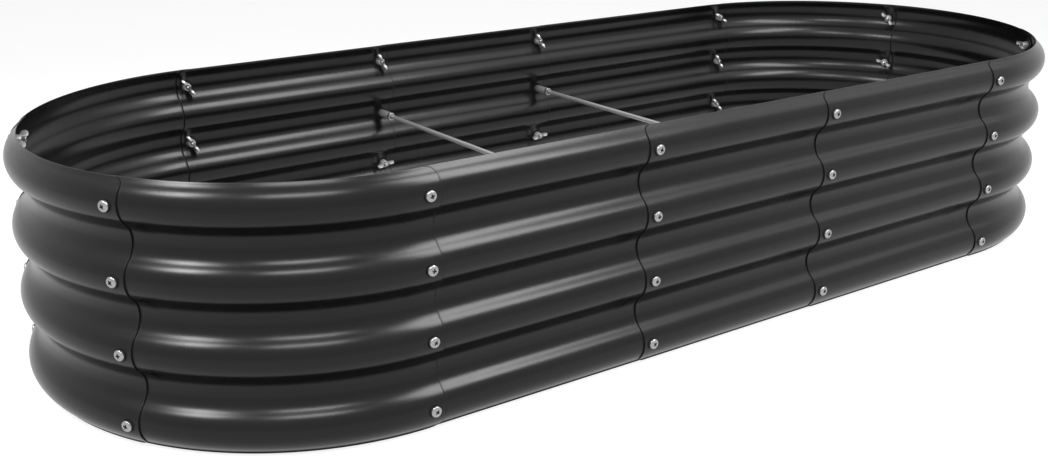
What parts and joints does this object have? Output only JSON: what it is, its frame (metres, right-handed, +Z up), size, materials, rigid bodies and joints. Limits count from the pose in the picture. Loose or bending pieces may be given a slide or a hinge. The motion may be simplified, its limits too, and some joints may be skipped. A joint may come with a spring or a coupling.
{
  "type": "raised garden bed",
  "caption": "Long oval raised garden bed of lapped corrugated steel panels, screwed at the seams with wing nuts inside and braced by cross rods.",
  "frame": {"origin": "centre of the bed's outline at the level of its bottom edge", "axes": "+X along the length, +Y across the width towards the back wall, +Z up"},
  "size_m": [1.5232, 0.6184, 0.2794],
  "materials": {
    "coated_sheet": "black satin powder coat",
    "screws": "bright zinc plate",
    "wing_nuts": "bright zinc plate",
    "brace_rods": "dull zinc plate",
    "brace_sleeves": "dull zinc plate",
    "lock_nuts": "bright zinc plate"
  },
  "bodies": {
    "root": {"front_left_panel": "coated_sheet", "front_middle_panel": "coated_sheet", "front_right_panel": "coated_sheet", "right_front_panel": "coated_sheet", "right_end_panel": "coated_sheet", "right_back_panel": "coated_sheet", "back_right_panel": "coated_sheet", "back_middle_panel": "coated_sheet", "back_left_panel": "coated_sheet", "left_back_panel": "coated_sheet", "left_end_panel": "coated_sheet", "left_front_panel": "coated_sheet", "front_seam_1_screws": "screws", "front_seam_2_screws": "screws", "front_seam_3_screws": "screws", "front_seam_4_screws": "screws", "right_seam_1_screws": "screws", "right_seam_2_screws": "screws", "back_seam_1_screws": "screws", "back_seam_2_screws": "screws", "back_seam_3_screws": "screws", "back_seam_4_screws": "screws", "left_seam_1_screws": "screws", "left_seam_2_screws": "screws", "front_seam_1_wing_nuts": "wing_nuts", "front_seam_2_wing_nuts": "wing_nuts", "front_seam_3_wing_nuts": "wing_nuts", "front_seam_4_wing_nuts": "wing_nuts", "right_seam_1_wing_nuts": "wing_nuts", "right_seam_2_wing_nuts": "wing_nuts", "back_seam_1_wing_nuts": "wing_nuts", "back_seam_2_wing_nuts": "wing_nuts", "back_seam_3_wing_nuts": "wing_nuts", "back_seam_4_wing_nuts": "wing_nuts", "left_seam_1_wing_nuts": "wing_nuts", "left_seam_2_wing_nuts": "wing_nuts", "left_brace_rod": "brace_rods", "right_brace_rod": "brace_rods", "left_brace_sleeves": "brace_sleeves", "right_brace_sleeves": "brace_sleeves", "left_brace_lock_nuts": "lock_nuts", "right_brace_lock_nuts": "lock_nuts"}
  },
  "joints": []
}
